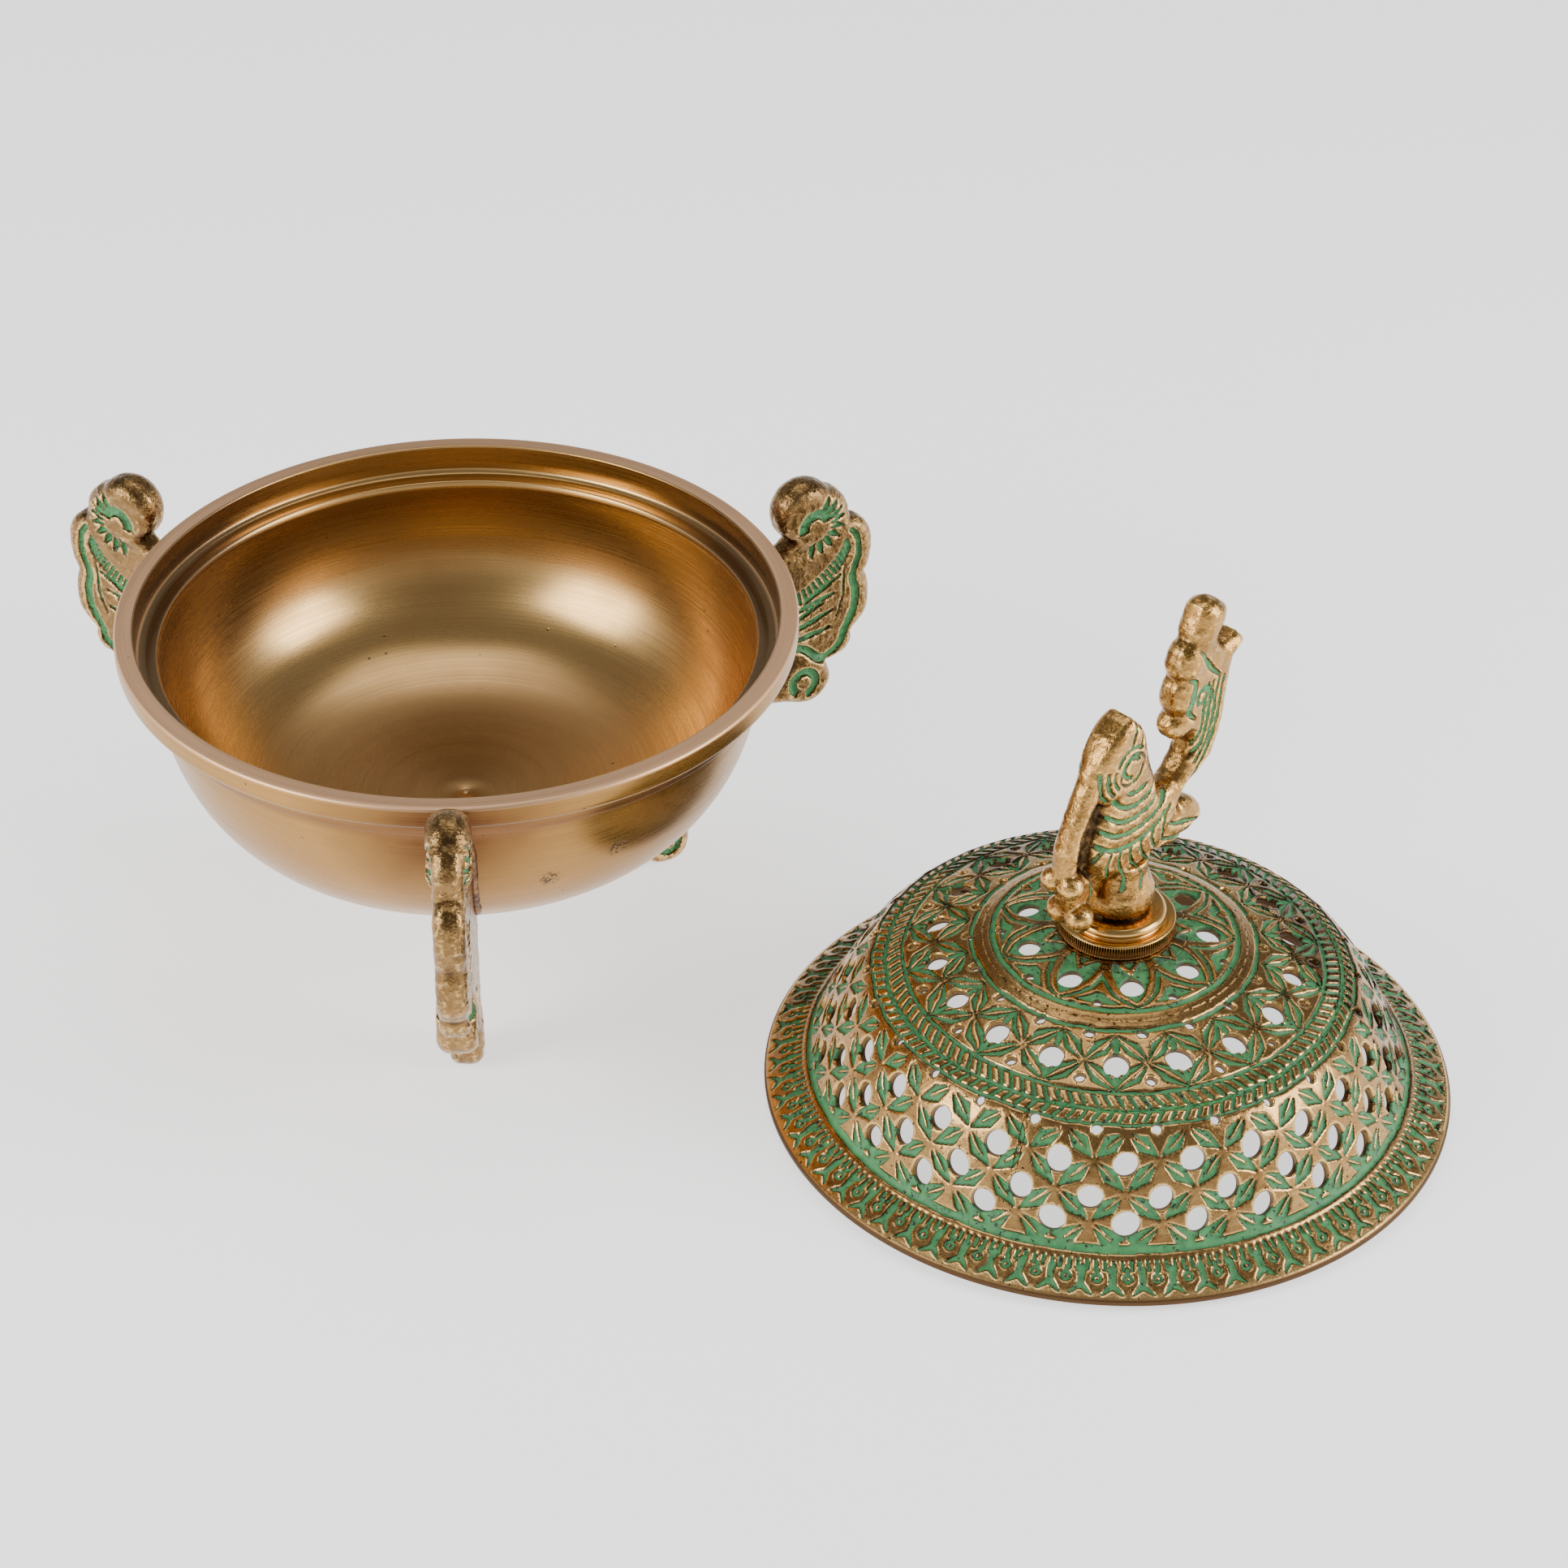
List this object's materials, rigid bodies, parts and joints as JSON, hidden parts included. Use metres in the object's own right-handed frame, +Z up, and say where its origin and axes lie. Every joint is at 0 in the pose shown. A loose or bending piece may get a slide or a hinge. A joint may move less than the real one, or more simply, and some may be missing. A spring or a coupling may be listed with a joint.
{
  "type": "tripod incense censer",
  "caption": "Brass incense censer: a turned bowl brazed on cast leaf-scroll legs, with its pierced dome lid and cast bird finial standing beside it.",
  "frame": {"origin": "middle of the footprint of the bowl and the lid together, on the table they stand on", "axes": "+Z up; +X from the bowl towards the lid; +Y away from the side that the set is looked at from"},
  "size_m": [0.3168, 0.2092, 0.1178],
  "materials": {
    "bowl_brass": "satin, turned, with circular brush lines",
    "leg_brass": "antiqued casting, green colour in the recesses",
    "braze_brass": "dark, heat-stained brazing metal",
    "lid_brass": "antiqued casting, green colour in the chased recesses",
    "collar_brass": "turned and knurled",
    "finial_brass": "antiqued casting, green colour in the recesses",
    "fastener_steel": "plain"
  },
  "bodies": {
    "bowl_set": {"bowl": "bowl_brass", "leg_front": "leg_brass", "leg_right": "leg_brass", "leg_left": "leg_brass", "braze_front": "braze_brass", "braze_right": "braze_brass", "braze_left": "braze_brass"},
    "lid": {"lid_dome": "lid_brass"},
    "collar": {"knurled_collar": "collar_brass"},
    "bird": {"finial": "finial_brass", "finial_stud": "fastener_steel", "finial_washer": "fastener_steel", "finial_nut": "fastener_steel"}
  },
  "joints": [
    {"name": "lid_lift", "type": "slide", "parent": "bowl_set", "child": "lid", "axis": [0, 0, 1], "range_m": [0, 0.12]},
    {"name": "collar_turn", "type": "hinge", "parent": "lid", "child": "collar", "pos_m": [0.08219, -0.02836, 0.046], "axis": [0, 0, 1], "continuous": true},
    {"name": "finial_turn", "type": "hinge", "parent": "lid", "child": "bird", "pos_m": [0.08219, -0.02836, 0.05], "axis": [0, 0, 1], "continuous": true}
  ]
}
